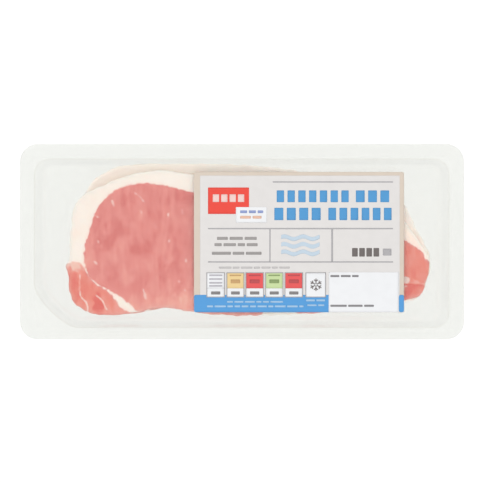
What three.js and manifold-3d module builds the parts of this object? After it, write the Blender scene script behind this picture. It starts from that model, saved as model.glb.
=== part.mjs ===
// A sealed pack of back bacon rashers: a clear formed tray with a flat flange, a clear film sealed over it,
// a paper label stuck on the film, and a stack of rashers in the pocket. Millimetres, +Z up. The origin is
// under the middle of the pack, on the surface it lies on. +X runs from the eye end to the tail end.
import * as THREE from "three";
import { mergeVertices } from "three/addons/utils/BufferGeometryUtils.js";
import Module from "manifold-3d";

const wasm = await Module();
wasm.setup();

// Tray: outer size, wall and the pocket's sides, measured at the pocket's rim
const PACK_LENGTH = 260;
const PACK_WIDTH = 114.4;
const FLANGE_HEIGHT = 22.6;
const WALL = 0.6;
const FLANGE_CORNER = 10.5;
const POCKET = { left: -121, right: 120.6, back: 47.8, front: -49.7 };
const POCKET_CORNER = 8.5;
const PEEL_CORNER = 24;
const PEEL_ROUNDNESS = 1.4;
const ROUND = 2;
const WALL_DRAFT = THREE.MathUtils.degToRad(7);
const RIM_ROLL = 1.2;
const FLOOR_FILLET = 3.2;
const CORNER_STEPS = 8;
const ROLL_STEPS = 3;
const FILLET_STEPS = 4;

// Film and label, and the air between pieces that lie on each other
const LAID_GAP = 0.3;
const FILM_THICKNESS = 0.25;
const FILM_RISE = 0.9;
const FILM_TRIM = 0.1;
const LABEL = { left: -28.1, right: 94.8, back: 40.8, front: -41.3 };
const LABEL_THICKNESS = 0.2;
const LABEL_CORNER = 1;
const LABEL_LIFT = 0.15;
const LABEL_CORNER_STEPS = 3;
const SHEET_GRID = { columns: 20, rows: 10 };

// Rashers: how many, how thick, and how far the top of the stack waves up and down. A wave's size is in
// millimetres for each radian.
const RASHERS = 8;
const RASHER_THICKNESS = 2.35;
const WAVE_HEIGHT = 0.55;
const SHORT_WAVE = { along: 17, across: 19 };
const LONG_WAVE = { along: 31, across: 14 };
const END_DROOP = 1.1;
const MUSCLE_RELIEF = 0.35;
const OUTLINE_POINTS = 72;
const MUSCLE_POINTS = 40;
const RASHER_GRID = { columns: 20, rows: 9 };

// Outline of a rasher, anticlockwise from above: the fat along the back, the tail's tip, the belly edge
// and the small muscles at the chine end
const BELLY_EDGE = [[-46, -38.9], [-31, -41.2], [-7, -43.3], [39.8, -41.8], [86.7, -36.5]];
const TAIL_TIP = [[97, -34.2], [105.2, -31], [108.9, -22], [110.3, -11.5], [103.9, 1]];
const BACK_FAT = [
  [96.5, 10.8], [84.5, 20.5], [63.2, 28.5], [16.4, 35.5], [-28.1, 39.4], [-45, 42], [-58, 41], [-80.8, 33.8],
  [-97.2, 23.2],
];
const CHINE_END = [[-100.8, 5.7], [-101.2, -8.5], [-103.3, -14.6], [-102.3, -20]];
const CHINE_SIDE = [[-101.6, -28.3], [-99.2, -35], [-94.5, -39.6], [-86, -42.7], [-71.4, -42.9]];

// How far each point of the back moves outwards for each millimetre that a rasher's back is fuller
const BACK_SWELL = [1.1, 0.9, 0.2, 0.8, 0.65, 0.2, 0.5, 1.5, 1.4];

// Outlines of the muscles that stand a little proud of the fat round them. They run past the rasher's own
// outline where the knife has left them bare.
const EYE = [
  [-45.1, -41.5], [-15.8, -45.5], [8, -45], [16, -34], [11.7, -10.7], [9.4, 9.8], [-7, 24.4], [-31.6, 29.4],
  [-54, 34.2], [-66, 33.1], [-77.3, 28], [-85.1, 18.6], [-89.2, 6.9], [-92.4, -4.9], [-92.6, -10.5],
  [-90.5, -18], [-87.3, -22.8], [-79.5, -27.5], [-70.9, -32.4], [-65.4, -36.9], [-58, -42.5],
];
const CHINE = [
  [-70, -45], [-64.5, -41.7], [-68, -40.2], [-71.6, -38.4], [-74.6, -33.8], [-78.9, -29], [-86.6, -24.1],
  [-91.9, -17.2], [-94.2, -13.2], [-98, -12], [-104.5, -14.6], [-106, -21], [-104, -29], [-92, -45],
];
const TAIL = [
  [34, -43.5], [86.7, -38.5], [97, -36], [106.6, -32.4], [110.6, -22], [111.8, -13.2], [107.6, -10.4],
  [105.4, -6.2], [103, -4], [99.6, -2.2], [95, 0.9], [80, 6], [62, 9], [34, 11], [26, -4], [28, -24],
];

// How each rasher lies under the top one, lowest first: moved along and across, turned, its length, and how
// much fuller its back is than the top one's
const LAY = [
  { along: 4.5, across: -0.6, turn: -0.5, length: 0.97, fuller: 0 },
  { along: 1.5, across: 0.8, turn: 0.6, length: 0.985, fuller: 1 },
  { along: 5.5, across: 1.6, turn: -0.3, length: 0.965, fuller: 0 },
  { along: 2.5, across: 2.5, turn: 0.7, length: 0.98, fuller: 2 },
  { along: 6, across: 2.4, turn: -0.4, length: 0.955, fuller: 1 },
  { along: 3, across: 3.4, turn: 0.2, length: 0.975, fuller: 2 },
  { along: 2.9, across: 4.2, turn: 1.6, length: 0.957, fuller: 5 },
  { along: 0, across: 0, turn: 0, length: 1, fuller: 0 },
];

// A BufferGeometry as a solid that can be joined and cut
function solidOf(geometry) {
  const bare = geometry.clone();
  bare.deleteAttribute("normal");
  bare.deleteAttribute("uv");
  const merged = mergeVertices(bare, 1e-4);
  return new wasm.Manifold(
    new wasm.Mesh({
      numProp: 3,
      vertProperties: new Float32Array(merged.attributes.position.array),
      triVerts: new Uint32Array(merged.index.array),
    }),
  );
}

// The solid back as a BufferGeometry
function geometryOf(solid) {
  const { vertProperties, triVerts } = solid.getMesh();
  const geometry = new THREE.BufferGeometry();
  geometry.setAttribute("position", new THREE.BufferAttribute(new Float32Array(vertProperties), 3));
  geometry.setIndex(new THREE.BufferAttribute(new Uint32Array(triVerts), 1));
  geometry.computeVertexNormals();
  return geometry;
}

// A rectangle with rounded corners, anticlockwise from the front right. Each corner has a reach and a
// roundness: 2 is an arc, and less than 2 is flatter, towards a chamfer.
function roundedRing({ left, right, back, front }, corners, steps = CORNER_STEPS) {
  const places = [[right, front, 1, -1], [right, back, 1, 1], [left, back, -1, 1], [left, front, -1, -1]];
  const ring = [];
  places.forEach(([x, y, sx, sy], i) => {
    const { reach, roundness } = corners[i];
    for (let step = 0; step <= steps; step++) {
      const share = (sx * sy > 0 ? step : steps - step) / steps;
      const angle = (share * Math.PI) / 2;
      const dx = Math.cos(angle) ** (2 / roundness) - 1;
      const dy = Math.sin(angle) ** (2 / roundness) - 1;
      ring.push([x + sx * reach * dx, y + sy * reach * dy]);
    }
  });
  return ring;
}

function outerRing(trim = 0) {
  const sides = {
    left: -PACK_LENGTH / 2 + trim,
    right: PACK_LENGTH / 2 - trim,
    back: PACK_WIDTH / 2 - trim,
    front: -PACK_WIDTH / 2 + trim,
  };
  return roundedRing(sides, Array(4).fill({ reach: FLANGE_CORNER - trim, roundness: ROUND }));
}

// The pocket's outline, moved inwards. Its front left corner is cut off for the peel tab.
function pocketRing(inset) {
  const sides = {
    left: POCKET.left + inset,
    right: POCKET.right - inset,
    back: POCKET.back - inset,
    front: POCKET.front + inset,
  };
  const corner = { reach: POCKET_CORNER, roundness: ROUND };
  const peel = { reach: PEEL_CORNER, roundness: PEEL_ROUNDNESS };
  return roundedRing(sides, [corner, corner, corner, peel]);
}

// Section of the pocket as [inset from the rim, height], for the face at a distance under the inner one
function pocketSection(under) {
  const slope = Math.PI / 2 - WALL_DRAFT;
  const roll = RIM_ROLL - under;
  const fillet = FLOOR_FILLET + under;
  const rollCentre = [-RIM_ROLL * Math.tan(slope / 2), FLANGE_HEIGHT - RIM_ROLL];
  const drop = FLANGE_HEIGHT - WALL;
  const wallRun = drop * Math.tan(WALL_DRAFT);
  const filletCentre = [wallRun + FLOOR_FILLET * Math.tan(slope / 2), WALL + FLOOR_FILLET];
  const section = [];
  for (let step = 0; step <= ROLL_STEPS; step++) {
    const angle = (slope * step) / ROLL_STEPS;
    section.push([rollCentre[0] + roll * Math.sin(angle), rollCentre[1] + roll * Math.cos(angle)]);
  }
  for (let step = FILLET_STEPS; step >= 0; step--) {
    const angle = (slope * step) / FILLET_STEPS;
    section.push([filletCentre[0] - fillet * Math.sin(angle), filletCentre[1] - fillet * Math.cos(angle)]);
  }
  return section;
}

// A closed skin through rings of equal length, with a flat cap over the first and the last
function loft(rings) {
  const count = rings[0].points.length;
  const positions = rings.flatMap(({ points, z }) => points.flatMap(([x, y]) => [x, y, z]));
  const index = [];
  for (let r = 0; r + 1 < rings.length; r++) {
    for (let i = 0; i < count; i++) {
      const a = r * count + i;
      const b = r * count + ((i + 1) % count);
      index.push(a, b, b + count, a, b + count, a + count);
    }
  }
  const last = (rings.length - 1) * count;
  const cap = (ring) =>
    THREE.ShapeUtils.triangulateShape(ring.points.map(([x, y]) => new THREE.Vector2(x, y)), []);
  cap(rings[0]).forEach(([a, b, c]) => index.push(a, c, b));
  cap(rings.at(-1)).forEach(([a, b, c]) => index.push(last + a, last + b, last + c));
  const geometry = new THREE.BufferGeometry();
  geometry.setAttribute("position", new THREE.Float32BufferAttribute(positions, 3));
  geometry.setIndex(index);
  return geometry;
}

// The tray's skin runs from under the floor, up the outside, round the flange and down the inside
function trayGeometry() {
  const outside = pocketSection(WALL).reverse();
  const inside = pocketSection(0);
  const rings = [
    ...outside.map(([inset, z]) => ({ points: pocketRing(inset), z })),
    { points: outerRing(), z: FLANGE_HEIGHT - WALL },
    { points: outerRing(), z: FLANGE_HEIGHT },
    ...inside.map(([inset, z]) => ({ points: pocketRing(inset), z })),
  ];
  return loft(rings);
}

// 1 in the middle of a span and 0 at its ends, with no kink
function hump(value, low, high) {
  const share = THREE.MathUtils.clamp((value - low) / (high - low), 0, 1);
  return Math.sin(Math.PI * share) ** 2;
}

// The film bulges a little over the pocket, between its seals
function filmHeight(x, y) {
  return FILM_RISE * Math.sqrt(hump(x, POCKET.left, POCKET.right) * hump(y, POCKET.front, POCKET.back));
}

// A slab over the whole pack, with a grid of faces whose underside and top follow two height functions
function slab({ columns, rows }, under, over) {
  const geometry = new THREE.BoxGeometry(PACK_LENGTH, PACK_WIDTH, 2, columns, rows, 1);
  const places = geometry.attributes.position;
  for (let i = 0; i < places.count; i++) {
    const height = places.getZ(i) < 0 ? under : over;
    places.setZ(i, height(places.getX(i), places.getY(i)));
  }
  return solidOf(geometry);
}

// An upright prism on an outline, tall enough to cut any slab of the pack
function prism(points) {
  const shape = new THREE.Shape(points.map(([x, y]) => new THREE.Vector2(x, y)));
  const depth = 3 * FLANGE_HEIGHT;
  const geometry = new THREE.ExtrudeGeometry(shape, { depth, bevelEnabled: false, steps: 1 });
  return solidOf(geometry.translate(0, 0, -depth / 3));
}

function filmGeometry() {
  const under = (x, y) => FLANGE_HEIGHT + LAID_GAP + filmHeight(x, y);
  const over = (x, y) => under(x, y) + FILM_THICKNESS;
  return geometryOf(slab(SHEET_GRID, under, over).intersect(prism(outerRing(FILM_TRIM))));
}

// The label uses the film's own grid of faces, so that it lies on the film all over
function labelGeometry() {
  const filmTop = (x, y) => FLANGE_HEIGHT + LAID_GAP + filmHeight(x, y) + FILM_THICKNESS;
  const under = (x, y) => filmTop(x, y) + LABEL_LIFT;
  const over = (x, y) => under(x, y) + LABEL_THICKNESS;
  const corner = { reach: LABEL_CORNER, roundness: ROUND };
  const outline = roundedRing(LABEL, Array(4).fill(corner), LABEL_CORNER_STEPS);
  return geometryOf(slab(SHEET_GRID, under, over).intersect(prism(outline)));
}

// A smooth closed curve through a few points, as a ring of many
function smoothRing(points, count) {
  const through = points.map(([x, y]) => new THREE.Vector3(x, y, 0));
  const curve = new THREE.CatmullRomCurve3(through, true, "centripetal");
  return curve.getSpacedPoints(count).slice(0, count).map(({ x, y }) => [x, y]);
}

// Outline of a rasher whose back may be fuller than the top one's
function rasherOutline({ fuller }) {
  const back = BACK_FAT.map(([x, y], i) => [x, y + fuller * BACK_SWELL[i]]);
  return [...BELLY_EDGE, ...TAIL_TIP, ...back, ...CHINE_END, ...CHINE_SIDE];
}

// Moves an outline from the top rasher's place to the place of one lower in the stack
function laid(points, { along, across, turn, length }) {
  const angle = THREE.MathUtils.degToRad(turn);
  return points.map(([x, y]) => [
    along + length * (x * Math.cos(angle) - y * Math.sin(angle)),
    across + x * Math.sin(angle) + y * Math.cos(angle),
  ]);
}

// How far the stack's top leaves the level: soft waves, and both ends hanging a little
function drape(x, y) {
  const short = Math.sin(x / SHORT_WAVE.along + 0.6) * Math.cos(y / SHORT_WAVE.across - 0.4);
  const long = Math.sin(x / LONG_WAVE.along - y / LONG_WAVE.across);
  const waves = short + 0.5 * long;
  const droop = (x / (PACK_LENGTH / 2)) ** 4 + 0.5 * (y / (PACK_WIDTH / 2)) ** 4;
  return WAVE_HEIGHT * waves - END_DROOP * droop;
}

// Height of the face between two rashers. The lowest lies flat on the tray's floor.
function stackHeight(level) {
  const rise = WALL + LAID_GAP + level * (RASHER_THICKNESS + LAID_GAP);
  return (x, y) => rise + (level / RASHERS) * drape(x, y);
}

function rasherSlab(level, relief = 0) {
  const under = stackHeight(level);
  const next = stackHeight(level + 1);
  const over = (x, y) => next(x, y) - LAID_GAP + relief;
  return slab(RASHER_GRID, under, over);
}

// One rasher. The muscles of the top one stand proud of its fat.
function rasherGeometry(level) {
  const lay = LAY[level];
  const within = prism(laid(smoothRing(rasherOutline(lay), OUTLINE_POINTS), lay));
  let rasher = rasherSlab(level).intersect(within);
  if (level === RASHERS - 1) {
    const raised = rasherSlab(level, MUSCLE_RELIEF).intersect(within);
    for (const muscle of [EYE, CHINE, TAIL]) {
      const ring = laid(smoothRing(muscle, MUSCLE_POINTS), lay);
      rasher = rasher.add(raised.intersect(prism(ring)));
    }
  }
  return geometryOf(rasher);
}

function mesh(name, geometry, color, roughness, opacity = 1) {
  const material = new THREE.MeshStandardMaterial({ color, roughness, metalness: 0 });
  material.transparent = opacity < 1;
  material.opacity = opacity;
  const made = new THREE.Mesh(geometry, material);
  made.name = name;
  return made;
}

const CLEAR_PLASTIC = 0xe9ece4;
const CLEAR_OPACITY = 0.35;
const PAPER = 0xe9e6e2;
const MEAT = 0xdf8b84;

const pack = new THREE.Group();
pack.name = "bacon_pack";
pack.add(mesh("tray", trayGeometry(), CLEAR_PLASTIC, 0.15, CLEAR_OPACITY));
for (let level = 0; level < RASHERS; level++) {
  pack.add(mesh(`rasher_${level + 1}`, rasherGeometry(level), MEAT, 0.4));
}
pack.add(mesh("film", filmGeometry(), CLEAR_PLASTIC, 0.1, CLEAR_OPACITY));
pack.add(mesh("label", labelGeometry(), PAPER, 0.6));

export default pack;
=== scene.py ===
# A sealed pack of back bacon: a clear formed tray, the rashers in its pocket, the clear film sealed over
# them and the printed paper label. Each piece is shaped in millimetres, and finished in metres.
import math

import bmesh
import bpy
import numpy as np
from mathutils import Matrix, Vector
from mathutils.geometry import interpolate_bezier


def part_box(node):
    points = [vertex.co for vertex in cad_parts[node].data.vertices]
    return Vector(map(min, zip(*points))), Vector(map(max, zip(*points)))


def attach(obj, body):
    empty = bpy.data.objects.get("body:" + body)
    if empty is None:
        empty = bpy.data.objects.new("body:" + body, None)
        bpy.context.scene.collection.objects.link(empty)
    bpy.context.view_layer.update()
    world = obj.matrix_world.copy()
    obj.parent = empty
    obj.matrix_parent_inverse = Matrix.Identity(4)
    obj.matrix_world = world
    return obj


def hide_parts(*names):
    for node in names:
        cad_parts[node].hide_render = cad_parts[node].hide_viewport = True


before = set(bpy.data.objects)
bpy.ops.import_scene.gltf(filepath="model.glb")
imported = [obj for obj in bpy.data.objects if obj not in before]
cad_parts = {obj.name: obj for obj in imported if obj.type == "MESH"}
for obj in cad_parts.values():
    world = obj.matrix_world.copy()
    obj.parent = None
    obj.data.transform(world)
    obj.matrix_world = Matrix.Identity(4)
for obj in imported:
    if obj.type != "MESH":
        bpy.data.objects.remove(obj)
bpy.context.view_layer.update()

# The tray. One sheet of clear plastic, formed hot into a pocket with a flat flange all round it. The front
# left corner of the pocket is cut across, which leaves room on the flange for the peel tab.
MM = 0.001
tray_low, tray_high = (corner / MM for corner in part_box("tray"))
FLANGE_HEIGHT = tray_high.z
FLANGE_CORNER = 10.5
TRAY_WALL = 0.6
POCKET_LEFT, POCKET_RIGHT, POCKET_FRONT, POCKET_BACK = -121, 120.6, -49.7, 47.8
POCKET_CORNER = 8.5
PEEL_CORNER = 24
ROUND_PROFILE = 0.5
PEEL_PROFILE = 0.37
DRAFT = 7
WALL_SLOPE = math.radians(90 - DRAFT)
RIM_ROLL = 1.2
FLOOR_FILLET = 3.2
FLOOR_MARGIN = 2
CUT_EDGE = 0.12
# An edge that turns by more degrees than this is shaded sharp, and on the tray it is trimmed round
SHARP_TURN, TRIM_TURN = 40, 50
# A darker line along the top of the rolled rim: the drop down the roll at which it is full, and by which it
# is gone
RIM_LINE_START, RIM_LINE_DEPTH = 0.05, 0.9
TRAY_TINT = (0.93, 0.935, 0.92, 1)
TRAY_EDGE_TINT = (0.925, 0.93, 0.915, 1)
RIM_LINE_TINT = (0.87, 0.87, 0.84, 1)
TRAY_ROUGHNESS, TRAY_HAZE = 0.12, 0.02
CLOUDED_PLASTIC = (0.8, 0.805, 0.78, 1)


def rounded_face(bm, left, right, front, back, reach, profiles=(ROUND_PROFILE,) * 4, steps=12):
    """A flat face with rounded corners, which go front left, front right, back left, back right."""
    middle = Matrix.Translation(((left + right) / 2, (front + back) / 2, 0))
    size = Matrix.Diagonal(((right - left) / 2, (back - front) / 2, 1, 1))
    made = bmesh.ops.create_grid(bm, x_segments=1, y_segments=1, size=1, matrix=middle @ size)
    for corner, offset, profile in zip(made["verts"], reach, profiles):
        arc = bmesh.ops.bevel(
            bm,
            geom=[corner],
            offset=offset,
            affect="VERTICES",
            segments=steps,
            profile=profile,
            material=-1,
        )
    return arc["verts"][0].link_faces[0]


def pocket_section(roll_steps=6, fillet_steps=8):
    """The pocket's side from rolled rim to floor, as (distance in from the rim, height)."""
    wall_run = (FLANGE_HEIGHT - TRAY_WALL) / math.tan(WALL_SLOPE)
    roll_in = -RIM_ROLL * math.tan(WALL_SLOPE / 2)
    fillet_in = wall_run + FLOOR_FILLET * math.tan(WALL_SLOPE / 2)
    section = []
    for step in range(roll_steps + 1):
        angle = WALL_SLOPE * step / roll_steps
        height = FLANGE_HEIGHT - RIM_ROLL * (1 - math.cos(angle))
        section.append((roll_in + RIM_ROLL * math.sin(angle), height))
    for step in range(fillet_steps, -1, -1):
        angle = WALL_SLOPE * step / fillet_steps
        height = TRAY_WALL + FLOOR_FILLET * (1 - math.cos(angle))
        section.append((fillet_in - FLOOR_FILLET * math.sin(angle), height))
    return section


def cut_grid(bm, low, high, cell):
    """Cuts the flat faces along a square grid, so that they can follow a curved surface."""
    for axis in (0, 1):
        for place in np.arange(math.floor(low[axis] / cell) + 1, high[axis] / cell) * cell:
            point, normal = Vector(), Vector()
            point[axis], normal[axis] = place, 1
            everything = bm.verts[:] + bm.edges[:] + bm.faces[:]
            bmesh.ops.bisect_plane(bm, geom=everything, plane_co=point, plane_no=normal, dist=cell / 50)


def finished(name, bm, material):
    """The bmesh as an object in metres, shaded smooth up to its sharp edges."""
    bmesh.ops.scale(bm, vec=(MM, MM, MM), verts=bm.verts)
    mesh = bpy.data.meshes.new(name)
    bm.to_mesh(mesh)
    bm.free()
    mesh.shade_smooth()
    mesh.set_sharp_from_angle(angle=math.radians(SHARP_TURN))
    mesh.materials.append(material)
    piece = bpy.data.objects.new(name, mesh)
    bpy.context.scene.collection.objects.link(piece)
    return piece


def node(tree, kind, inputs=None, **settings):
    """A shader node. Each of its inputs is given a value, or another node's output to read."""
    made = tree.nodes.new("ShaderNode" + kind)
    for name, value in settings.items():
        setattr(made, name, value)
    for name, value in (inputs or {}).items():
        if isinstance(value, bpy.types.NodeSocket):
            tree.links.new(value, made.inputs[name])
        else:
            made.inputs[name].default_value = value
    return made


def new_material(name):
    """An empty material, and its tree of nodes."""
    material = bpy.data.materials.new(name)
    material.use_nodes = True
    material.node_tree.nodes.clear()
    return material, material.node_tree


def calculate(tree, operation, first, second=0.0, third=0.0):
    """One step of arithmetic on up to three numbers."""
    return node(tree, "Math", {0: first, 1: second, 2: third}, operation=operation).outputs[0]


def step_between(tree, value, low, high, start=0.0, end=1.0):
    """A soft step from start to end, as the value goes from low to high."""
    inputs = {"Value": value, "From Min": low, "From Max": high, "To Min": start, "To Max": end}
    return node(tree, "MapRange", inputs, interpolation_type="SMOOTHSTEP").outputs[0]


def mixed(tree, share, first, second):
    """The first colour, with a share of the second mixed in."""
    return node(tree, "Mix", {"Factor": share, 6: first, 7: second}, data_type="RGBA").outputs[2]


def clear_plastic(name, tint, edge_tint, roughness, haze, misted=None, line_tint=None):
    """Clear sheet: see-through and faintly grey, darker where it turns away, with a bright skin.

    Haze is how white it is. Where the attribute called misted is 1, it is as white as the misted share
    says. Where the attribute called rim_line is 1, it has the line's tint.
    """
    material, tree = new_material(name)
    place = node(tree, "TexCoord").outputs["Object"]
    lumps = node(tree, "TexNoise", {"Vector": place, "Scale": 70, "Detail": 2}).outputs["Fac"]
    skin = node(tree, "Bump", {"Height": lumps, "Strength": 0.35, "Distance": 0.0004}).outputs[0]
    turned = node(tree, "LayerWeight", {"Blend": 0.5}).outputs["Facing"]
    clearness = mixed(tree, calculate(tree, "POWER", turned, 1.5), tint, edge_tint)
    if line_tint:
        # A darker tint along the top of the rolled rim
        sealed = node(tree, "Attribute", attribute_name="rim_line").outputs["Fac"]
        clearness = mixed(tree, sealed, clearness, line_tint)
    clear = node(tree, "BsdfTransparent", {"Color": clearness}).outputs[0]
    body_inputs = {"Base Color": CLOUDED_PLASTIC, "Roughness": 0.5, "Specular IOR Level": 0}
    body = node(tree, "BsdfPrincipled", body_inputs).outputs[0]
    cloud = node(tree, "TexNoise", {"Vector": place, "Scale": 25, "Detail": 3}).outputs["Fac"]
    white = haze
    if misted:
        where = node(tree, "Attribute", attribute_name="misted").outputs["Fac"]
        white = calculate(tree, "MULTIPLY_ADD", where, misted - haze, haze)
    white = calculate(tree, "MULTIPLY", white, step_between(tree, cloud, 0.3, 0.7, 0.75, 1.25))
    sheet = node(tree, "MixShader", {0: white, 1: clear, 2: body}).outputs[0]
    gloss = node(tree, "BsdfGlossy", {"Roughness": roughness, "Normal": skin}).outputs[0]
    grazing = calculate(tree, "POWER", turned, 5)
    mirrored = calculate(tree, "MULTIPLY_ADD", grazing, 0.45, 0.04)
    shown = node(tree, "MixShader", {0: mirrored, 1: sheet, 2: gloss}).outputs[0]
    node(tree, "OutputMaterial", {"Surface": shown})
    return material


def paint(mesh, name, values):
    """Keeps one value for each vertex, for a material to read."""
    mesh.attributes.new(name, "FLOAT", "POINT").data.foreach_set("value", values.astype(np.float32))


tray_mesh = bmesh.new()
section = pocket_section()
lip = -section[0][0]
tray_floor = rounded_face(
    tray_mesh,
    POCKET_LEFT - lip,
    POCKET_RIGHT + lip,
    POCKET_FRONT - lip,
    POCKET_BACK + lip,
    [PEEL_CORNER + lip, POCKET_CORNER + lip, POCKET_CORNER + lip, POCKET_CORNER + lip],
    [PEEL_PROFILE, ROUND_PROFILE, ROUND_PROFILE, ROUND_PROFILE],
)
section.append((section[-1][0] + FLOOR_MARGIN, TRAY_WALL))
for (inset, height), (next_inset, next_height) in zip(section, section[1:]):
    bmesh.ops.inset_region(
        tray_mesh,
        faces=[tray_floor],
        thickness=next_inset - inset,
        depth=next_height - height,
        use_boundary=True,
        use_even_offset=True,
    )
flange = rounded_face(tray_mesh, tray_low.x, tray_high.x, tray_low.y, tray_high.y, [FLANGE_CORNER] * 4)
flange_rim = flange.verts[:]
bmesh.ops.delete(tray_mesh, geom=[flange], context="FACES_ONLY")
open_edges = [edge for edge in tray_mesh.edges if len(edge.link_faces) < 2]
bmesh.ops.translate(tray_mesh, vec=(0, 0, FLANGE_HEIGHT), verts=flange_rim)
spokes = bmesh.ops.bridge_loops(tray_mesh, edges=open_edges)["edges"]
bmesh.ops.translate(tray_mesh, vec=(0, 0, -FLANGE_HEIGHT), verts=flange_rim)
bmesh.ops.subdivide_edges(tray_mesh, edges=spokes, cuts=4, use_grid_fill=True)
bmesh.ops.recalc_face_normals(tray_mesh, faces=tray_mesh.faces)
if tray_floor.normal.z < 0:
    bmesh.ops.reverse_faces(tray_mesh, faces=tray_mesh.faces)
bmesh.ops.translate(tray_mesh, vec=(0, 0, FLANGE_HEIGHT), verts=tray_mesh.verts)
tray_plastic = clear_plastic(
    "clear tray plastic",
    TRAY_TINT,
    TRAY_EDGE_TINT,
    TRAY_ROUGHNESS,
    TRAY_HAZE,
    line_tint=RIM_LINE_TINT,
)
tray = finished("tray_formed", tray_mesh, tray_plastic)
# A darker line is painted along the top of the tray's rolled rim
drop = FLANGE_HEIGHT - np.array([vert.co.z for vert in tray.data.vertices]) / MM
line_fade = np.clip(1 - drop / RIM_LINE_DEPTH, 0, 1)
paint(tray.data, "rim_line", np.clip(drop / RIM_LINE_START, 0, 1) * line_fade)
sheet = tray.modifiers.new("sheet", "SOLIDIFY")
sheet.thickness = TRAY_WALL * MM
sheet.offset = -1
sheet.use_even_offset = True
trimmed_edge = tray.modifiers.new("trimmed edge", "BEVEL")
trimmed_edge.width = CUT_EDGE * MM
trimmed_edge.segments = 2
trimmed_edge.limit_method = "ANGLE"
trimmed_edge.angle_limit = math.radians(TRIM_TURN)
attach(tray, "root")
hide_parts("tray")

# The rashers. Eight slices of cured back, sliced across the loin and laid on each other from the tray's
# floor up. Each has its eye muscle, the small muscles at the chine end, the streaky tail and their fat.
RASHERS = sum(name.startswith("rasher_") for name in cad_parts)
RASHER_THICKNESS = 2.35
LAID_GAP = 0.3
WAVE_HEIGHT = 0.55
LONG_WAVE, CROSS_WAVE, SLANTED_WAVE = 17, 19, (31, 14)
END_DROOP = 1.1
CUT_WAVE, CUT_WAVE_SIZE = 0.35, 9
CUT_FRAY, CUT_FRAY_SIZE = 0.25, 4
CUT_INSET = 0.3
RIM_RINGS = (0.25, 0.3, 0.4)
MUSCLE_SHIFT, MUSCLE_SHIFT_SIZE = 1.2, 45
MUSCLE_RELIEF, MUSCLE_SLOPE = 0.35, 1.5
MUSCLE_GROOVE = 0.12
SLICE_RIPPLE, SLICE_RIPPLE_SIZE = 0.08, 7
SEAM_DEPTH = 0.3
GROOVE_WIDTH = 0.5
EDGE_ROUND = 0.85
# A border of fat, so wide, runs round the tails of the lower rashers. It sets in at a place along X, and is
# whole so much further on.
TAIL_BORDER = 2.5
BORDER_START, BORDER_RUN = 60, 20
# Before it the knife has left some muscle bare at the rim, where it counts as no deeper than this
BARE_DEPTH = 3
# A rasher's lower face counts as this much further from its rim, so that the paler rim stays on its top
# face.
# The rim's fat is partly thin fat that lets the light through, and partly painted light against the shade
# there.
LOWER_FACE_RIM = 4
TOP_CELL = 0.62
FLOOR_CELL = 1.1
HIDDEN_CELL = 2.2
# The top rasher's outline: the belly edge, round the tail, back along the fat and round the chine end
BELLY_EDGE = [(-46, -38.9), (-31, -41.2), (-7, -43.3), (39.8, -41.8), (86.7, -36.5)]
TAIL_TIP = [(97, -34.2), (105.2, -31), (108.9, -22), (110.3, -11.5), (103.9, 1)]
BACK_FAT = [
    (96.5, 10.8), (84.5, 20.5), (63.2, 28.5), (16.4, 35.5), (-28.1, 39.4), (-45, 42), (-58, 41),
    (-80.8, 33.8), (-97.2, 23.2),
]
CHINE_END = [(-100.8, 5.7), (-101.2, -8.5), (-103.3, -14.6), (-102.3, -20)]
CHINE_SIDE = [(-101.6, -28.3), (-99.2, -35), (-94.5, -39.6), (-86, -42.7), (-71.4, -42.9)]
RASHER_OUTLINE = BELLY_EDGE + TAIL_TIP + BACK_FAT + CHINE_END + CHINE_SIDE
# How far each point of the back moves outwards for each millimetre that a rasher's back is fuller
BACK_SWELL = [1.1, 0.9, 0.2, 0.8, 0.65, 0.2, 0.5, 1.5, 1.4]
# The muscles. They run past the rasher's own outline where the knife has left them bare.
EYE = [
    (-45.1, -41.5), (-15.8, -45.5), (8, -45), (16, -34), (11.7, -10.7), (9.4, 9.8), (-7, 24.4),
    (-31.6, 29.4), (-54, 34.2), (-66, 33.1), (-77.3, 28), (-85.1, 18.6), (-89.2, 6.9), (-92.4, -4.9),
    (-92.6, -10.5), (-90.5, -18), (-87.3, -22.8), (-79.5, -27.5), (-70.9, -32.4), (-65.4, -36.9),
    (-58, -42.5),
]
CHINE = [
    (-70, -45), (-64.5, -41.7), (-68, -40.2), (-71.6, -38.4), (-74.6, -33.8), (-78.9, -29), (-86.6, -24.1),
    (-91.9, -17.2), (-94.2, -13.2), (-98, -12), (-104.5, -14.6), (-106, -21), (-104, -29), (-92, -45),
]
TAIL = [
    (34, -43.5), (86.7, -38.5), (97, -36), (106.6, -32.4), (110.6, -22), (111.8, -13.2), (107.6, -10.4),
    (105.4, -6.2), (103, -4), (99.6, -2.2), (95, 0.9), (80, 6), (62, 9), (34, 11), (26, -4), (28, -24),
]
# White sheets and lumps of fat in the muscles: half the width, and an open line
SEAMS = [
    (0.35, [(-94.9, -30.6), (-94.3, -32.4), (-92, -35), (-90.4, -38), (-90.6, -41)]),
    (0.35, [(-85.4, -31.6), (-82, -34.4), (-80.4, -37.6), (-79.4, -39.6)]),
    (1.9, [(94, -22.4), (96.5, -22.6)]),
]
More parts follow.
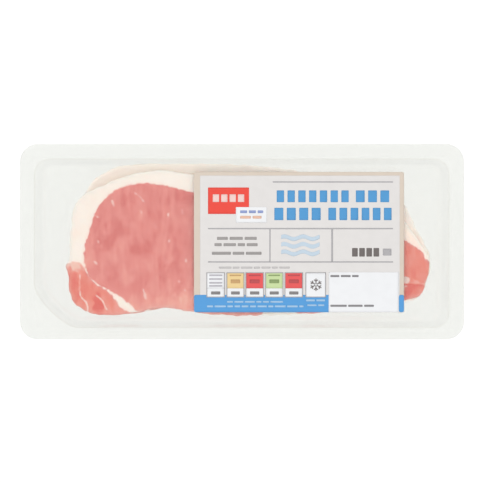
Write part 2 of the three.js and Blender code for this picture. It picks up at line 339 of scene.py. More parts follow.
# Finer sheets and flecks of fat inside the muscles, as open lines, and half their width
FLECKS = [
    [(-95, -19), (-95.2, -25), (-94.9, -30.6)],
    [(94.4, -26.2), (97, -26.4)], [(94.4, -28), (96.8, -28.1)], [(-87.6, 16.4), (-84.5, 14.4)],
    [(-62.7, 28.3), (-59.7, 26.4), (-57.6, 23.6)], [(-86.4, -11.8), (-85, -13.2)],
    [(-76.3, 24), (-74.8, 20.5)], [(-84.2, 0.6), (-83.8, -0.4)], [(-59, 17.6), (-58.8, 16.6)],
    [(-50.7, 9.6), (-50.3, 8.4)], [(-35.3, 18.6), (-35, 16.6)], [(-33.1, -9.6), (-33, -11.6)],
    [(-37.4, -23), (-36.6, -23.6)], [(-42.8, 0.6), (-42.5, -0.4)], [(-57.8, -28), (-56.4, -33.4)],
    [(-33.6, -28.4), (-33, -29.2)], [(-43.3, 16.4), (-43.2, 14.6)], [(-25, 4), (-24.6, 0)],
    [(-18.2, -14), (-17.8, -18)],
]
FLECK_HALF_WIDTH = 0.28
# Deeper patches of the lean: place, half length along X and Y, and how deep. A patch under 0 is paler.
PATCHES = [
    (-78.5, -0.2, 5.5, 4.5, 1.1), (-70.9, 6, 4, 5, 1.1), (-60.9, -2.5, 7, 4.5, 1.2), (-56, -8, 3, 4, 0.5),
    (-75.5, -17.7, 4, 6, 0.85), (-48, -16.6, 2.2, 9, 0.7), (-38, -9.5, 3.5, 8, 0.6), (-33, 27, 7, 4.5, 0.8),
    (-31, 8, 4, 14, 0.15), (-67.3, 25.6, 5, 5, 0.4), (-49, 26, 6, 6, 0.4), (-83.5, 10.5, 3, 4.5, 0.5),
    (-84.6, -35, 2.8, 5.5, 3.1), (-96.2, -31, 1.8, 5.5, 0.9), (-90.4, -29, 2.2, 5, 0.3),
    (-76.5, -36, 2, 5, 0.5), (97.4, -29.5, 3, 4.5, 1.7), (96, -9, 5, 6, 0.4), (-10, 5, 14, 14, 0.4),
    (-84.4, -26, 4, 2.5, 0.5), (-40, -38, 42, 8, -1.35), (-88, -12, 3.5, 6, -0.5),
    (-43.4, 2, 2, 22, -0.45), (-67.5, -20, 3, 10, -0.4), (-58.6, 16.8, 2.5, 4, -0.6),
    (-99.5, -13.4, 8, 4.4, -2.9), (105, -14, 4, 9, -0.4), (103.5, -24.4, 6, 1, -2),
    (103.5, -25.9, 5.5, 0.7, 0.8),
]
# A patch's edge wanders by so much over waves of such a size, and frays by less over finer ones
PATCH_WANDER, PATCH_WAVE = 1.4, 8
PATCH_FRAY, PATCH_RAG = 0.8, 3.5
PATCH_FLATNESS = 2
# How each rasher lies under the top one, lowest first: moved along and across, turned, its length, and how
# much fuller its back is than the top one's
LAY = [
    (4.5, -0.6, -0.5, 0.97, 0), (1.5, 0.8, 0.6, 0.985, 1), (5.5, 1.6, -0.3, 0.965, 0),
    (2.5, 2.5, 0.7, 0.98, 2), (6, 2.4, -0.4, 0.955, 1), (3, 3.4, 0.2, 0.975, 2),
    (2.9, 4.2, 1.6, 0.957, 5), (0, 0, 0, 1, 0),
]


def smooth_line(points, spacing=1.5, closed=True):
    """A smooth curve through the points, as an array of places about a spacing apart."""
    through = [Vector((x, y, 0)) for x, y in points]
    count = len(through)
    line = []
    for i in range(count if closed else count - 1):
        around = [i - 1, i, i + 1, i + 2]
        before, start, end, after = (
            through[n % count] if closed else through[min(max(n, 0), count - 1)] for n in around
        )
        in_gap, gap, out_gap = (
            max(math.sqrt((q - p).length), 0.1) for p, q in ((before, start), (start, end), (end, after))
        )
        leave = (start - before) / in_gap - (end - before) / (in_gap + gap) + (end - start) / gap
        arrive = (end - start) / gap - (after - start) / (gap + out_gap) + (after - end) / out_gap
        steps = max(2, round((end - start).length / spacing))
        handles = start + leave * gap / 3, end - arrive * gap / 3
        line += interpolate_bezier(start, *handles, end, steps + 1)[:-1]
    if not closed:
        line.append(through[-1])
    return np.array([(p.x, p.y) for p in line])


def ripples(x, y, size, seed):
    """Smooth uneven waves between about -1 and 1, a size across."""
    draw = np.random.default_rng(seed)
    total = 0
    for angle, phase, stretch in draw.uniform((0, 0, 0.6), (math.tau, math.tau, 1.7), (7, 3)):
        along = x * math.cos(angle) + y * math.sin(angle)
        total = total + np.sin(along * math.tau / (size * stretch) + phase)
    return total / 3.2


def distance_to(line, x, y, closed=True):
    """Each place's distance to the line."""
    ends = np.roll(line, -1, axis=0) if closed else line[1:]
    nearest = np.full(len(x), np.inf)
    for (ax, ay), (bx, by) in zip(line, ends):
        dx, dy = bx - ax, by - ay
        along = np.clip(((x - ax) * dx + (y - ay) * dy) / (dx * dx + dy * dy + 1e-12), 0, 1)
        nearest = np.minimum(nearest, (x - ax - along * dx) ** 2 + (y - ay - along * dy) ** 2)
    return np.sqrt(nearest)


def depth_inside(ring, x, y):
    """Each place's distance to the ring, less than 0 outside it."""
    inside = np.zeros(len(x), bool)
    for (ax, ay), (bx, by) in zip(ring, np.roll(ring, -1, axis=0)):
        if ay != by:
            crossing = (ay > y) != (by > y)
            inside ^= crossing & (x < (bx - ax) * (y - ay) / (by - ay) + ax)
    return np.where(inside, 1, -1) * distance_to(ring, x, y)


def drape(x, y):
    """How far the stack's top leaves the level: soft waves, with its ends and sides hanging a little."""
    waves = np.sin(x / LONG_WAVE + 0.6) * np.cos(y / CROSS_WAVE - 0.4)
    waves += 0.5 * np.sin(x / SLANTED_WAVE[0] - y / SLANTED_WAVE[1])
    droop = (x / tray_high.x) ** 4 + 0.5 * (y / tray_high.y) ** 4
    return WAVE_HEIGHT * waves - END_DROOP * droop


def stack_height(level, x, y):
    """Height of the face between two rashers."""
    rise = TRAY_WALL + LAID_GAP + level * (RASHER_THICKNESS + LAID_GAP)
    return rise + level / RASHERS * drape(x, y)


def rasher_sheet(outline, cell):
    """A closed slab on the outline, 1 thick, with a grid of faces on both sides."""
    bm = bmesh.new()
    face = bm.faces.new([bm.verts.new((x, y, 0)) for x, y in outline])
    for inset in RIM_RINGS:
        bmesh.ops.inset_region(bm, faces=[face], thickness=inset, use_boundary=True, use_even_offset=True)
    cut_grid(bm, outline.min(axis=0), outline.max(axis=0), cell)
    raised = bmesh.ops.extrude_face_region(bm, geom=bm.faces[:])["geom"]
    bmesh.ops.translate(bm, vec=(0, 0, 1), verts=[v for v in raised if isinstance(v, bmesh.types.BMVert)])
    bmesh.ops.recalc_face_normals(bm, faces=bm.faces)
    return bm


def patches_at(x, y):
    """How much the patches deepen the lean's colour at each place."""
    x = x + PATCH_WANDER * ripples(x, y, PATCH_WAVE, 21) + PATCH_FRAY * ripples(x, y, PATCH_RAG, 23)
    y = y + PATCH_WANDER * ripples(x, y, PATCH_WAVE, 22) + PATCH_FRAY * ripples(x, y, PATCH_RAG, 24)
    total = np.zeros(len(x))
    for px, py, half_x, half_y, depth in PATCHES:
        apart = ((x - px) / half_x) ** 2 + ((y - py) / half_y) ** 2
        total += depth * np.exp(-(apart**PATCH_FLATNESS))
    return total


def cut_outline(level):
    """A rasher's outline, with the small unevenness of its cut."""
    fuller = LAY[level][-1]
    back = [(x, y + fuller * swell) for (x, y), swell in zip(BACK_FAT, BACK_SWELL)]
    outline = smooth_line(BELLY_EDGE + TAIL_TIP + back + CHINE_END + CHINE_SIDE)
    uneven = CUT_WAVE * ripples(*outline.T, CUT_WAVE_SIZE, level)
    uneven += CUT_FRAY * ripples(*outline.T, CUT_FRAY_SIZE, level + 50)
    outwards = outline / np.linalg.norm(outline, axis=1, keepdims=True)
    return outline + outwards * uneven[:, None] - CUT_INSET * outwards


def beside(line, x, y):
    """Each place's distance to an open line of fat."""
    return distance_to(smooth_line(line, 1, False), x, y, False)


def groove(distance):
    """1 on a line, and 0 well away from it."""
    return np.exp(-((distance / GROOVE_WIDTH) ** 2))


def cut_rasher(level, cell, material):
    """One rasher, cut from the same loin as the others and laid in its place in the stack."""
    is_top = level == RASHERS - 1
    outline = cut_outline(level)
    bm = rasher_sheet(outline, cell)
    mesh = bpy.data.meshes.new(f"bacon_rasher_{level + 1}")
    bm.to_mesh(mesh)
    bm.free()
    places = np.empty(len(mesh.vertices) * 3, np.float32)
    mesh.vertices.foreach_get("co", places)
    x, y, side = places.reshape(-1, 3).T.astype(float)

    shift = 0 if is_top else MUSCLE_SHIFT * ripples(x, y, MUSCLE_SHIFT_SIZE, 100 + level)
    lean = np.max([depth_inside(smooth_line(ring), x + shift, y) for ring in (EYE, CHINE, TAIL)], axis=0)
    seam = np.min([beside(line, x, y) - half for half, line in SEAMS], axis=0)
    fleck = np.min([beside(line, x, y) for line in FLECKS], axis=0)
    rim = distance_to(outline, x, y)
    if not is_top:
        bordered = np.clip((x - BORDER_START) / BORDER_RUN, 0, 1)
        lean = np.minimum(lean, rim + BARE_DEPTH - (BARE_DEPTH + TAIL_BORDER) * bordered)

    paint(mesh, "rim", rim + LOWER_FACE_RIM * (1 - side))
    paint(mesh, "lean", lean)
    paint(mesh, "seam", seam)
    paint(mesh, "fleck", fleck - FLECK_HALF_WIDTH)
    ruddy = [depth_inside(smooth_line(ring), x, y) for ring in (CHINE, TAIL)]
    paint(mesh, "ruddy", np.max(ruddy, axis=0))
    paint(mesh, "deep", patches_at(x, y))

    along, across, turn, length = LAY[level][:4]
    angle = math.radians(turn)
    placed_x = along + length * (x * math.cos(angle) - y * math.sin(angle))
    placed_y = across + x * math.sin(angle) + y * math.cos(angle)
    under = stack_height(level, placed_x, placed_y)
    over = stack_height(level + 1, placed_x, placed_y) - LAID_GAP
    if is_top:
        over += MUSCLE_RELIEF * np.clip(lean / MUSCLE_SLOPE + 0.5, 0, 1)
        over += SLICE_RIPPLE * ripples(x, y, SLICE_RIPPLE_SIZE, 11)
        over -= SEAM_DEPTH * groove(np.maximum(seam, 0)) + MUSCLE_GROOVE * groove(lean)
    near = np.clip(1 - rim / EDGE_ROUND, 0, 1)
    rounded = EDGE_ROUND * (1 - np.sqrt(1 - near**2))
    height = np.where(side > 0.5, over - rounded, under + rounded)
    placed = np.column_stack([placed_x, placed_y, height]) * MM
    mesh.vertices.foreach_set("co", placed.astype(np.float32).ravel())
    mesh.update()
    mesh.shade_smooth()
    mesh.materials.append(material)
    rasher = bpy.data.objects.new(mesh.name, mesh)
    bpy.context.scene.collection.objects.link(rasher)
    return rasher


def srgb(red, green, blue):
    """A colour as seen on a screen, 0 to 255, in the linear values that a shader takes."""
    def linear(value):
        share = value / 255
        return share / 12.92 if share <= 0.04045 else ((share + 0.055) / 1.055) ** 2.4

    return (linear(red), linear(green), linear(blue), 1)


LEAN = srgb(216, 118, 109)
LEAN_DEEP = srgb(203, 88, 80)
LEAN_PALE = srgb(226, 146, 131)
LEAN_WHITISH = srgb(230, 182, 165)
LEAN_RUDDY = srgb(222, 113, 92)
RUDDY_DEEP = srgb(214, 74, 56)
FAT = srgb(239, 229, 219)
FAT_PINK = srgb(238, 206, 192)
# Painted shade: the fat of the rashers below is darker, for their place under the top one
FAT_PAINTED_SHADE_BELOW = srgb(236, 220, 205)
# Paler fat at a rasher's rim, partly thin fat and partly painted light; and fat lit by painted light
# towards the tail
RIM_FAT_PAINTED_LIGHT = srgb(236, 230, 221)
RIM_FAT_PAINTED_LIGHT_BELOW = srgb(249, 237, 225)
TAIL_FAT_PAINTED_LIGHT = srgb(252, 233, 219)
# Where the fat's painted light towards the tail begins and is full, how wide the paler rim of the fat is,
# and how strong. That rim is partly thin fat and partly painted light.
TAIL_LIGHT_START, TAIL_LIGHT_FULL = 50, 90
PAINTED_LIGHT_RIM, PAINTED_LIGHT_SHARE = 3, 0.8
# How ragged the lean's border, the sheets of fat and the flecks are, and how white the last two are
BORDER_RAG, SEAM_RAG, FLECK_RAG = 2.8, 1.2, 2.4
SEAM_WHITENESS, FLECK_WHITENESS = 0.7, 0.42
# How much each of the lean's noises changes the depth of its colour
PATCH_WEIGHT, FIBRE_WEIGHT, GRAIN_WEIGHT = 1.6, 2.4, 1.8


def stretched_noise(tree, place, size_x, size_y, size_z, detail=2.0, twist=0.0):
    """Noise whose lumps have the given sizes, in millimetres, along X, Y and Z."""
    scale = [1 / (size * MM) for size in (size_x, size_y, size_z)]
    turned = node(tree, "Mapping", {"Vector": place, "Scale": scale, "Rotation": (0, 0, twist)}).outputs[0]
    return node(tree, "TexNoise", {"Vector": turned, "Scale": 1, "Detail": detail}).outputs["Fac"]


def deepened(tree, depth, noise, weight):
    """The depth of the lean's colour, more where a noise is low and less where it is high."""
    return calculate(tree, "MULTIPLY_ADD", noise, -weight, calculate(tree, "ADD", depth, weight / 2))


def bacon_material(name, plain_fat, rim_fat_painted_light):
    """Raw cured bacon: streaked lean, deeper and redder in the chine and the tail, and cream fat."""
    material, tree = new_material(name)
    place = node(tree, "TexCoord").outputs["Object"]
    rim, lean, seam, fleck, ruddy, deep = (
        node(tree, "Attribute", attribute_name=painted).outputs["Fac"]
        for painted in ("rim", "lean", "seam", "fleck", "ruddy", "deep")
    )
    ragged = calculate(tree, "SUBTRACT", stretched_noise(tree, place, 2.2, 2.6, 3), 0.5)
    border = calculate(tree, "MULTIPLY_ADD", ragged, BORDER_RAG, lean)
    is_lean = step_between(tree, border, -0.5, 0.35)

    patch = stretched_noise(tree, place, 12, 15, 14, 3)
    fibre = stretched_noise(tree, place, 3.2, 20, 8, 3, 0.1)
    grain = stretched_noise(tree, place, 1.6, 5, 4, 3)
    blotch = step_between(tree, stretched_noise(tree, place, 6, 10, 8, 3), 0.44, 0.58, -0.22, 0.28)
    depth = calculate(tree, "ADD", deep, blotch)
    for noise, weight in ((patch, PATCH_WEIGHT), (fibre, FIBRE_WEIGHT), (grain, GRAIN_WEIGHT)):
        depth = deepened(tree, depth, noise, weight)
    is_ruddy = step_between(tree, ruddy, -0.5, 2)
    shade = mixed(tree, is_ruddy, LEAN, LEAN_RUDDY)
    deepest = mixed(tree, is_ruddy, LEAN_DEEP, RUDDY_DEEP)
    shade = mixed(tree, calculate(tree, "MULTIPLY", depth, 0.75), shade, deepest)
    shade = mixed(tree, calculate(tree, "MULTIPLY", depth, -0.65), shade, LEAN_PALE)
    shade = mixed(tree, step_between(tree, depth, -1.6, -2.8), shade, LEAN_WHITISH)
    along = node(tree, "SeparateXYZ", {0: place}).outputs["X"]
    # Painted light: the fat is made lighter towards the tail, against the shade that the label casts there
    tail_painted_light = step_between(tree, along, TAIL_LIGHT_START * MM, TAIL_LIGHT_FULL * MM)
    fat = mixed(tree, tail_painted_light, plain_fat, TAIL_FAT_PAINTED_LIGHT)
    fat = mixed(tree, step_between(tree, patch, 0.4, 0.7, 0, 0.3), fat, FAT_PINK)
    fat = mixed(tree, step_between(tree, lean, -1.8, -0.2, 0, 0.45), fat, FAT_PINK)
    # The rim's fat is paler: partly thin fat that lets the light through, partly painted light against its
    # shade
    fat = mixed(tree, step_between(tree, rim, 0, PAINTED_LIGHT_RIM, PAINTED_LIGHT_SHARE, 0), fat, rim_fat_painted_light)
    colour = mixed(tree, is_lean, fat, shade)
    seam = calculate(tree, "MULTIPLY_ADD", ragged, SEAM_RAG, seam)
    fleck = calculate(tree, "MULTIPLY_ADD", ragged, FLECK_RAG, fleck)
    in_seam = step_between(tree, seam, -0.4, 0.5, SEAM_WHITENESS, 0)
    in_fleck = step_between(tree, fleck, -0.35, 0.5, FLECK_WHITENESS, 0)
    colour = mixed(tree, calculate(tree, "MAXIMUM", in_seam, in_fleck), colour, FAT)

    relief = calculate(tree, "ADD", fibre, calculate(tree, "MULTIPLY", grain, 0.5))
    surface = node(tree, "Bump", {"Height": relief, "Strength": 0.5, "Distance": 0.0003}).outputs[0]
    roughness = step_between(tree, grain, 0.3, 0.7, 0.34, 0.5)
    inputs = {
        "Base Color": colour,
        "Roughness": roughness,
        "Normal": surface,
        "Subsurface Weight": 0.15,
        "Subsurface Radius": (1.0, 0.4, 0.25),
        "Subsurface Scale": 0.002,
        "Coat Weight": 0.25,
        "Coat Roughness": 0.2,
    }
    meat = node(tree, "BsdfPrincipled", inputs).outputs[0]
    node(tree, "OutputMaterial", {"Surface": meat})
    return material


top_bacon = bacon_material("raw cured bacon", FAT, RIM_FAT_PAINTED_LIGHT)
# The rashers below have a copy of the bacon whose fat is painted darker, as painted shade, with its own
# paler rim
bacon_painted_shade_below = bacon_material("raw cured bacon below with painted shade", FAT_PAINTED_SHADE_BELOW, RIM_FAT_PAINTED_LIGHT_BELOW)
for level in range(RASHERS):
    cell = {0: FLOOR_CELL, RASHERS - 1: TOP_CELL}.get(level, HIDDEN_CELL)
    rasher = cut_rasher(level, cell, top_bacon if level == RASHERS - 1 else bacon_painted_shade_below)
    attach(rasher, "root")
    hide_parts(f"rasher_{level + 1}")

# The film. A clear web drawn over the filled tray, sealed to its flange and cut to its outline. The gas in
# the pack lifts it a little over the pocket, and the drawing leaves faint ripples in it.
FILM_THICKNESS = 0.25
FILM_RISE = 0.9
FILM_TRIM = 0.1
SEAL_GAP = 0.03
FILM_CELL = 3
FILM_RIPPLE, FILM_RIPPLE_SIZE = 0.1, 38
LIFT_STEEPNESS = 20
FILM_TINT = (0.990, 0.991, 0.987, 1)
FILM_EDGE_TINT = (0.96, 0.962, 0.956, 1)
FILM_ROUGHNESS = 0.08
FILM_HAZE, FILM_MIST = 0.01, 0.12
# The film's mist: its strength over the bacon's edge, and the distance outwards over which it would rise
# from none to full. Past the pocket's rim it fades out over the same distance.
MIST_START, MIST_RIM = 0.6, 3


def hump(value, low, high):
    """1 in the middle of a span and 0 at its ends, with no kink."""
    return np.sin(np.pi * np.clip((value - low) / (high - low), 0, 1)) ** 2


def film_under(x, y):
    """Height of the film's underside."""
    over_pocket = hump(x, POCKET_LEFT, POCKET_RIGHT) * hump(y, POCKET_FRONT, POCKET_BACK)
    lifted = np.clip(over_pocket * LIFT_STEEPNESS, 0, 1) * (LAID_GAP - SEAL_GAP)
    drawn = FILM_RIPPLE * ripples(x, y, FILM_RIPPLE_SIZE, 3) * np.sqrt(over_pocket)
    return FLANGE_HEIGHT + SEAL_GAP + lifted + FILM_RISE * np.sqrt(over_pocket) + drawn


def follow(bm, base):
    """Lifts a flat mesh onto a curved surface."""
    places = np.array([v.co for v in bm.verts])
    heights = base(places[:, 0], places[:, 1])
    for vert, height in zip(bm.verts, heights):
        vert.co.z += height


film_mesh = bmesh.new()
film_low, film_high = tray_low + Vector([FILM_TRIM] * 3), tray_high - Vector([FILM_TRIM] * 3)
rounded_face(film_mesh, film_low.x, film_high.x, film_low.y, film_high.y, [FLANGE_CORNER - FILM_TRIM] * 4)
cut_grid(film_mesh, film_low, film_high, FILM_CELL)
follow(film_mesh, film_under)
film_plastic = clear_plastic(
    "clear lid film", FILM_TINT, FILM_EDGE_TINT, FILM_ROUGHNESS, FILM_HAZE, misted=FILM_MIST
)
film = finished("film_sealed", film_mesh, film_plastic)
film_x, film_y = np.array([vert.co.xy for vert in film.data.vertices]).T / MM
off_bacon = -depth_inside(smooth_line(RASHER_OUTLINE), film_x, film_y)
past_ends = film_x - np.clip(film_x, POCKET_LEFT, POCKET_RIGHT)
past_sides = film_y - np.clip(film_y, POCKET_FRONT, POCKET_BACK)
over_pocket = np.clip(1 - np.hypot(past_ends, past_sides) / MIST_RIM, 0, 1)
paint(film.data, "misted", np.clip(off_bacon / MIST_RIM + MIST_START, 0, 1) * over_pocket)
web = film.modifiers.new("web", "SOLIDIFY")
web.thickness = FILM_THICKNESS * MM
web.offset = 1
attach(film, "root")
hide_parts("film")

# The label. A sheet of coated paper, stuck on the film over the tail end of the rashers. Its own beige
# shows as a narrow border on three sides of the print.
LABEL_LEFT, LABEL_RIGHT, LABEL_FRONT, LABEL_BACK = -28.1, 94.8, -41.3, 40.8
LABEL_CORNER = 1
LABEL_THICKNESS = 0.2
LABEL_LIFT = 0.04
LABEL_CELL = 2
FIBRE_SHADE = 0.95
PAPER_BEIGE = srgb(199, 186, 172)


def label_under(x, y):
    """Height of the label's underside."""
    return film_under(x, y) + FILM_THICKNESS + LABEL_LIFT


def coated_paper(name, colour, roughness=0.45):
    """Paper or ink with faint fibres and uneven cover."""
    material, tree = new_material(name)
    place = node(tree, "TexCoord").outputs["Object"]
    fibres = stretched_noise(tree, place, 0.5, 0.9, 0.5, 4, 0.4)
    cover = stretched_noise(tree, place, 6, 5, 5, 3)
    darker = [FIBRE_SHADE * value for value in colour[:3]] + [1]
    tone = mixed(tree, step_between(tree, cover, 0.35, 0.7, 0, 0.5), colour, darker)
    tone = mixed(tree, step_between(tree, fibres, 0.55, 0.8, 0, 0.35), tone, darker)
    surface = node(tree, "Bump", {"Height": fibres, "Strength": 0.15, "Distance": 0.00005}).outputs[0]
    inputs = {"Base Color": tone, "Roughness": roughness, "Normal": surface}
    node(tree, "OutputMaterial", {"Surface": node(tree, "BsdfPrincipled", inputs).outputs[0]})
    return material


label_mesh = bmesh.new()
rounded_face(label_mesh, LABEL_LEFT, LABEL_RIGHT, LABEL_FRONT, LABEL_BACK, [LABEL_CORNER] * 4, steps=4)
cut_grid(label_mesh, (LABEL_LEFT, LABEL_FRONT), (LABEL_RIGHT, LABEL_BACK), LABEL_CELL)
follow(label_mesh, label_under)
label = finished("label_sheet", label_mesh, coated_paper("beige label paper", PAPER_BEIGE))
paper = label.modifiers.new("paper", "SOLIDIFY")
paper.thickness = LABEL_THICKNESS * MM
paper.offset = 1
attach(label, "root")
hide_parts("label")

# The print. Layers of ink on the label's face: the warm grey ground, the rules, plain panels, a row of
# boxes, a blue strip, and rows of plain bars and blocks. Places are from the label's left and front.
INK_THICKNESS = 0.02
INK_LIFT = 0.02
INK_STEP = 0.05
INK_CELL = 2
INK_CORNER = 0.3
RULE_WIDTH = 0.7
STRIPE_WIDTH = 2.4
STRIPE_WAVE, WAVE_LENGTH, STRIPE_CELL = 0.8, 11, 1
WHITE_INK = srgb(219, 220, 222)
GREY_INK = srgb(160, 158, 160)
DARK_INK = srgb(108, 101, 99)
BLUE_INK = srgb(70, 142, 200)
PALE_BLUE_INK = srgb(178, 194, 207)
RED_INK = srgb(217, 58, 42)


def bars(left, right, low, high, count, seed):
    """A row of bars of uneven lengths, with small gaps between them."""
    gap = 0.4 + 0.4 * (high - low)
    shares = np.random.default_rng(seed).uniform(0.6, 1.6, count)
    lengths = shares / shares.sum() * (right - left - gap * (count - 1))
    ends = left + np.cumsum(lengths + gap) - gap
    return [(end - length, end, low, high) for end, length in zip(ends, lengths)]


def blocks(left, right, low, high, count, gap):
    """A row of equal blocks."""
    pitch = (right - left + gap) / count
    return [(left + i * pitch, left + (i + 1) * pitch - gap, low, high) for i in range(count)]


def inked(name, bm, colour, level):
    """Lays flat panels on the label as a layer of ink."""
    follow(bm, lambda x, y: label_under(x, y) + LABEL_THICKNESS + INK_LIFT + level * INK_STEP)
    ink = finished(name, bm, coated_paper(name.replace("_", " ") + " ink", colour))
    layer = ink.modifiers.new("layer", "SOLIDIFY")
    layer.thickness = INK_THICKNESS * MM
    layer.offset = 1
    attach(ink, "root")


def printed(name, colour, level, panels, wave=0, cell=INK_CELL, round_to=INK_CORNER):
    """A layer of ink in panels, each given by its left, right, low and high edges."""
    bm = bmesh.new()
    for left, right, low, high in panels:
        corner = min(round_to, 0.4 * (right - left), 0.4 * (high - low))
        sides = (LABEL_LEFT + left, LABEL_LEFT + right, LABEL_FRONT + low, LABEL_FRONT + high)
        rounded_face(bm, *sides, [corner] * 4, steps=2)
    cut_grid(bm, (LABEL_LEFT, LABEL_FRONT), (LABEL_RIGHT, LABEL_BACK), cell)
    for vert in bm.verts:
        vert.co.y += wave * math.sin(vert.co.x * math.tau / WAVE_LENGTH)
    inked(name, bm, colour, level)


FIGURE_BOXES = [(7.3, 18.1), (19, 29.5), (30.1, 40.9), (41.6, 52.3), (53, 63.8)]
FROST_BOX = (65.2, 77.2)
BOX_LOW, BOX_MIDDLE, BOX_HIGH = 8.7, 14, 23.4
BOX_LINE = 0.5
printed("print_ground", srgb(207, 204, 202), 0, [(3.5, 120.4, 0, 80)])
printed("print_blue", BLUE_INK, 1, [(0, 80.5, 0, 10.2), (119.9, 122.9, 0, 10.2)], round_to=LABEL_CORNER)
printed("print_white", WHITE_INK, 2, [(78.8, 119.8, 0, 23.4)])
printed("print_red", RED_INK, 1, [(8.2, 32.2, 57.5, 73)])
printed("print_tag", WHITE_INK, 2, [(24.5, 42.5, 52.5, 61.5)])
printed("print_panel_blocks", srgb(222, 190, 184), 2, blocks(11, 29.4, 64.5, 69, 4, 1.2))
printed("print_tag_blue", srgb(132, 145, 190), 3, bars(27, 40.5, 58, 59.6, 3, 5))
printed("print_tag_orange", srgb(214, 172, 150), 3, bars(27, 39.5, 54.8, 56.4, 2, 6))
rows = [(46, 116.5, 75.9), (8.2, 116.5, 48.6), (8.2, 116.5, 29.1)]
rules = [(left, right, low, low + RULE_WIDTH) for left, right, low in rows]
rules += [(44.1, 44.1 + RULE_WIDTH, 29.3, 48.7), (80.3, 81.3, 29.3, 48.7)]
printed("print_rules", GREY_INK, 1, rules)
title = blocks(48.4, 90.5, 64.4, 71.3, 7, 2) + blocks(94.7, 114.2, 64.4, 71.3, 3, 2)
title += blocks(47, 74.1, 53.9, 61.1, 4, 2) + blocks(78.6, 115.6, 53.9, 61.1, 6, 2)
printed("print_title", srgb(66, 139, 192), 1, title)
stripes = [(51, 73.5, low, low + STRIPE_WIDTH) for low in (33.6, 38, 42.4)]
printed("print_stripes", PALE_BLUE_INK, 1, stripes, STRIPE_WAVE, STRIPE_CELL)
small_print = bars(13.5, 36.7, 42.4, 44.1, 3, 7) + bars(12, 37.2, 38.7, 40.4, 4, 8)
small_print += bars(10.5, 39.5, 33.7, 35.4, 3, 9)
printed("print_lines", srgb(146, 142, 140), 1, small_print)
printed("print_faint_line", srgb(181, 178, 177), 1, bars(14.6, 56, 25.6, 26.7, 7, 10))
printed("print_weight", srgb(98, 91, 89), 1, blocks(92.5, 108.3, 32.6, 37.6, 4, 0.9))
printed("print_mark", GREY_INK, 1, [(110.5, 115.5, 33.2, 37.2)])
outlines = [(*box, BOX_LOW, BOX_HIGH) for box in FIGURE_BOXES + [FROST_BOX]]
printed("print_box_lines", GREY_INK, 2, outlines)
insides = [(left + BOX_LINE, right - BOX_LINE) for left, right in FIGURE_BOXES]
tops = [(*inside, BOX_MIDDLE, BOX_HIGH - BOX_LINE) for inside in insides]
bottoms = [(*inside, BOX_LOW + BOX_LINE, BOX_MIDDLE) for inside in insides]
frost_inside = (FROST_BOX[0] + BOX_LINE, FROST_BOX[1] - BOX_LINE)
whites = bottoms + tops[:1] + [(*frost_inside, BOX_LOW + BOX_LINE, BOX_HIGH - BOX_LINE)]
printed("print_box_white", WHITE_INK, 3, whites)
printed("print_box_amber", srgb(217, 190, 134), 3, tops[1:2])
printed("print_box_red", srgb(212, 74, 74), 3, [tops[2], tops[4]])
printed("print_box_green", srgb(184, 202, 147), 3, tops[3:4])
figures = [(left + 2.2, right - 2.2, 10.4, 12.2) for left, right in insides]
printed("print_figures", srgb(120, 116, 116), 4, figures)
amounts = [
    [(left + 2, right - 2, 17, 19.2), (left + 1.4, right - 1.4, 21.2, 22)] for left, right in insides
]
printed("print_amber_lines", srgb(184, 146, 96), 4, amounts[1])
printed("print_red_lines", srgb(172, 62, 66), 4, amounts[2] + amounts[4])
printed("print_green_lines", srgb(126, 146, 92), 4, amounts[3])
energy_lines = [(8.9, 16.6, low, low + 0.9) for low in (15, 16.8, 19, 21.2)]
printed("print_energy", srgb(168, 165, 172), 4, energy_lines)
strip_lines = bars(19.3, 52.1, 5.6, 6.6, 6, 11) + bars(7.6, 64.1, 2.9, 4, 11, 12)
strip_lines += bars(65.6, 76.7, 6.4, 7.5, 2, 13) + bars(66.2, 76.2, 3.6, 4.6, 2, 14)
printed("print_strip_lines", srgb(150, 184, 212), 2, strip_lines)
date_lines = bars(79.8, 96.3, 20.6, 21.8, 3, 15) + bars(79.8, 105.2, 3.2, 4.4, 3, 16)
printed("print_date_lines", srgb(124, 122, 124), 3, date_lines)

# The keep-cold sign: six arms, each a bar with two twigs. A bar has its near and far end, where it leaves
# the arm, and its angle to the arm.
FROST_MIDDLE = Vector((LABEL_LEFT + 71.35, LABEL_FRONT + 16.1, 0))
FROST_ARMS, FROST_TURN = 6, 30
FROST_SIDES, FROST_ROUND = (-0.3, 0.3), 0.2
FROST_BARS = [(0.5, 3.7, 0, 0), (0, 1.5, 2, 50), (0, 1.5, 2, -50)]
frost = bmesh.new()
for arm in range(FROST_ARMS):
    for near, far, foot, angle in FROST_BARS:
        bar = rounded_face(frost, near, far, *FROST_SIDES, [FROST_ROUND] * 4, steps=2)
        branch = Matrix.Rotation(math.radians(angle), 3, "Z")
        round_middle = Matrix.Rotation(math.radians(360 / FROST_ARMS * arm + FROST_TURN), 3, "Z")
        bmesh.ops.rotate(frost, verts=bar.verts, matrix=branch)
        bmesh.ops.translate(frost, verts=bar.verts, vec=(foot, 0, 0))
        bmesh.ops.rotate(frost, verts=bar.verts, matrix=round_middle)
        bmesh.ops.translate(frost, verts=bar.verts, vec=FROST_MIDDLE)
inked("print_frost_sign", frost, DARK_INK, 4)

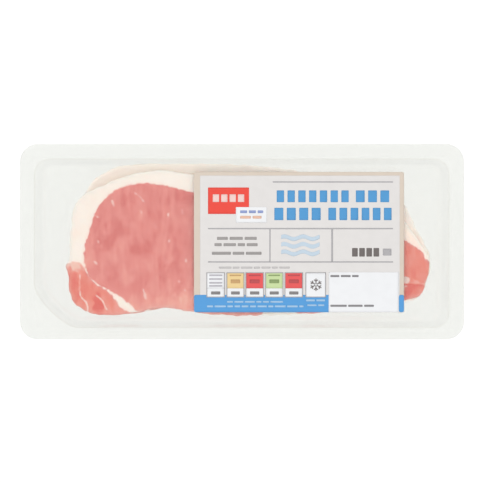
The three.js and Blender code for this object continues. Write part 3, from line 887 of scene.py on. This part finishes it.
# The studio. A white light table under even light, and a long lens straight above the pack. From below,
# the table is see-through, so that the pack's underside can be seen.
PHOTO_SIDE = 483
PACK_PIXELS = 444
LENS, SENSOR = 150, 36
LENS_X, LENS_Y = -0.3, 0.1
PHOTO_SPAN = (tray_high.x - tray_low.x) / PACK_PIXELS * PHOTO_SIDE
TABLE_HALF, TABLE_GAP = 1500, 0.05
TABLE_DULL, TABLE_BRIGHT = (0.11, 0.11, 0.11, 1), (0.13, 0.13, 0.13, 1)
TABLE_GLOW, ROOM_GLOW = 0.93, 1.2
SOFTBOX_SIDE, SOFTBOX_POWER, SOFTBOX_PLACE = 0.9, 2, (-0.55, 0.75, 1.1)
floor_mesh = bmesh.new()
bmesh.ops.create_grid(floor_mesh, x_segments=1, y_segments=1, size=TABLE_HALF)
floor_material, floor_tree = new_material("white studio floor")
floor_place = node(floor_tree, "TexCoord").outputs["Object"]
floor_tone = stretched_noise(floor_tree, floor_place, 60, 60, 60)
floor_colour = mixed(floor_tree, floor_tone, TABLE_DULL, TABLE_BRIGHT)
floor_inputs = {
    "Base Color": floor_colour,
    "Roughness": 0.8,
    "Specular IOR Level": 0,
    "Emission Color": (1, 1, 1, 1),
    "Emission Strength": TABLE_GLOW,
}
floor_above = node(floor_tree, "BsdfPrincipled", floor_inputs).outputs[0]
floor_below = node(floor_tree, "BsdfTransparent").outputs[0]
from_below = node(floor_tree, "NewGeometry").outputs["Backfacing"]
floor_shader = node(floor_tree, "MixShader", {0: from_below, 1: floor_above, 2: floor_below}).outputs[0]
node(floor_tree, "OutputMaterial", {"Surface": floor_shader})
floor = finished("studio_floor", floor_mesh, floor_material)
floor.location.z = -TABLE_GAP * MM

world = bpy.data.worlds.new("white studio")
world.use_nodes = True
world.node_tree.nodes["Background"].inputs["Color"].default_value = (1, 1, 1, 1)
world.node_tree.nodes["Background"].inputs["Strength"].default_value = ROOM_GLOW
bpy.context.scene.world = world

lamp = bpy.data.objects.new("softbox", bpy.data.lights.new("softbox", "AREA"))
lamp.data.size = SOFTBOX_SIDE
lamp.data.energy = SOFTBOX_POWER
lamp.location = SOFTBOX_PLACE
lamp.rotation_euler = (-lamp.location).to_track_quat("-Z", "Y").to_euler()
bpy.context.scene.collection.objects.link(lamp)

camera = bpy.data.objects.new("camera", bpy.data.cameras.new("camera"))
camera.data.lens = LENS
camera.data.sensor_width = SENSOR
lens_height = PHOTO_SPAN * LENS / SENSOR + FLANGE_HEIGHT
camera.location = (LENS_X * MM, LENS_Y * MM, lens_height * MM)
camera.data.clip_start, camera.data.clip_end = 0.05, 20
bpy.context.scene.collection.objects.link(camera)
bpy.context.scene.camera = camera
bpy.context.scene.view_settings.view_transform = "Standard"
bpy.context.scene.cycles.transparent_max_bounces = 32
